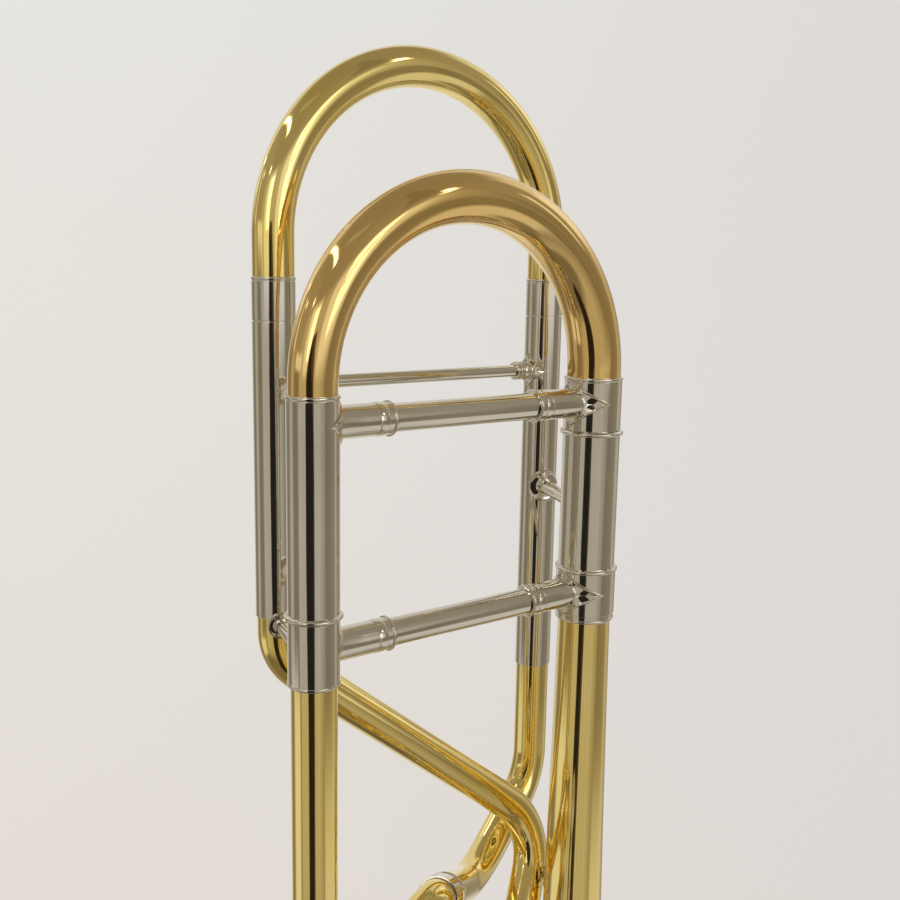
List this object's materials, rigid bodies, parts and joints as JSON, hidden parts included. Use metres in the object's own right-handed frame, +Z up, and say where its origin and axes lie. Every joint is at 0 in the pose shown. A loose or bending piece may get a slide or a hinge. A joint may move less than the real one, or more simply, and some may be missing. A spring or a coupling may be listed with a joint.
{
  "type": "tenor trombone",
  "caption": "Tenor trombone with an open-wrap F attachment: bell, tuning slides, rotary valve with thumb lever, hand slide and mouthpiece.",
  "frame": {"origin": "centre of the bell rim's plane", "axes": "+Z up the bell axis towards the tuning slide crooks, +X from the neckpipe column towards the bell, +Y towards the F attachment loop"},
  "size_m": [0.2919, 0.216, 1.2188],
  "materials": {
    "yellow_brass": "polished yellow brass under clear lacquer",
    "rose_brass": "polished rose brass under clear lacquer",
    "nickel_silver": "polished nickel silver",
    "plated_tube": "hard chrome plate",
    "silver_plate": "polished silver plate",
    "spring_steel": "drawn steel wire",
    "black_rubber": "moulded black rubber",
    "cork": "natural cork"
  },
  "bodies": {
    "bell_section": {"bell_flare": "yellow_brass", "bell_stem": "yellow_brass", "bell_receiver_tube": "nickel_silver", "bell_collar": "nickel_silver", "neckpipe_ferrule": "nickel_silver", "neckpipe_male_leg": "nickel_silver", "neckpipe_upper": "yellow_brass", "neckpipe_lower": "yellow_brass", "lower_brace_tube": "nickel_silver", "lower_brace_sockets": "nickel_silver", "f_outer_left": "nickel_silver", "f_outer_right": "nickel_silver", "f_brace_tube": "nickel_silver", "f_brace_sockets": "nickel_silver", "tube_stays": "nickel_silver", "wrap_tube_lower": "yellow_brass", "wrap_tube_upper": "yellow_brass", "wrap_ferrules": "nickel_silver", "bell_brace_tube": "nickel_silver", "bell_brace_sockets": "nickel_silver", "valve_casing": "yellow_brass", "valve_bearing_front": "nickel_silver", "valve_bearing_back": "nickel_silver", "valve_cap": "nickel_silver", "stop_bumpers": "black_rubber", "lever_saddle": "nickel_silver", "lever_pivot_pin": "spring_steel", "lever_spring": "spring_steel", "slide_receiver": "nickel_silver", "cork_barrels": "nickel_silver", "barrel_corks": "cork", "inner_slide_tubes": "plated_tube", "fixed_grip": "nickel_silver", "mouthpiece_receiver": "nickel_silver", "leadpipe": "yellow_brass"},
    "main_slide": {"main_crook": "rose_brass", "main_sleeve_left": "nickel_silver", "main_ferrule_right": "nickel_silver", "main_male_leg": "nickel_silver", "main_brace_tube": "nickel_silver", "main_brace_sockets": "nickel_silver"},
    "f_slide": {"f_crook": "yellow_brass", "f_ferrules": "nickel_silver", "f_male_legs": "nickel_silver"},
    "rotor": {"rotor": "yellow_brass", "stop_arm": "nickel_silver"},
    "link_rod": {"link_rod": "nickel_silver"},
    "thumb_lever": {"thumb_lever": "nickel_silver"},
    "lock_nut": {"lock_nut": "nickel_silver"},
    "slide_lock_ring": {"slide_lock_ring": "nickel_silver"},
    "mouthpiece": {"mouthpiece": "silver_plate"},
    "hand_slide": {"outer_slide_tubes": "yellow_brass", "bow_ferrules": "nickel_silver", "slide_bow": "yellow_brass", "slide_bumper": "black_rubber", "moving_grip": "nickel_silver", "key_saddle": "nickel_silver", "key_pin": "spring_steel"},
    "water_key": {"water_key": "nickel_silver", "key_cork": "cork"}
  },
  "joints": [
    {"name": "hand_slide_run", "type": "slide", "parent": "bell_section", "child": "hand_slide", "axis": [0, 0, -1], "range_m": [0, 0.58]},
    {"name": "main_slide_pull", "type": "slide", "parent": "bell_section", "child": "main_slide", "axis": [0, 0, 1], "range_m": [0, 0.05]},
    {"name": "f_slide_pull", "type": "slide", "parent": "bell_section", "child": "f_slide", "axis": [0, 0, 1], "range_m": [0, 0.07]},
    {"name": "rotor_turn", "type": "hinge", "parent": "bell_section", "child": "rotor", "pos_m": [-0.105, 0, 0.36], "axis": [0, -1, 0], "range_deg": [0, 90], "stiffness_Nm_per_rad": 0.03, "springref_deg": -34.38},
    {"name": "lever_press", "type": "hinge", "parent": "bell_section", "child": "thumb_lever", "pos_m": [-0.12944, -0.02, 0.3045], "axis": [0, -1, 0], "range_deg": [0, 28.91]},
    {"name": "link_swing", "type": "hinge", "parent": "rotor", "child": "link_rod", "pos_m": [-0.09652, -0.035, 0.35152], "axis": [0, -1, 0], "range_deg": [-90.5, 0.5]},
    {"name": "lock_nut_turn", "type": "hinge", "parent": "bell_section", "child": "lock_nut", "pos_m": [-0.131, 0, 0.265], "axis": [0, 0, 1], "continuous": true},
    {"name": "slide_lock_turn", "type": "hinge", "parent": "bell_section", "child": "slide_lock_ring", "pos_m": [-0.131, -0.084, 0.2175], "axis": [0, 0, 1], "range_deg": [0, 35]},
    {"name": "mouthpiece_pull", "type": "slide", "parent": "bell_section", "child": "mouthpiece", "axis": [0, 0, 1], "range_m": [0, 0.03]},
    {"name": "water_key_press", "type": "hinge", "parent": "hand_slide", "child": "water_key", "pos_m": [-0.131, -0.09727, -0.45585], "axis": [-1, 0, 0], "range_deg": [0, 7], "stiffness_Nm_per_rad": 0.1, "springref_deg": -17.19}
  ],
  "couplings": [
    {"joint": "lever_press", "follows": "rotor_turn", "ratio": 0.32115},
    {"joint": "link_swing", "follows": "rotor_turn", "ratio": -1}
  ]
}
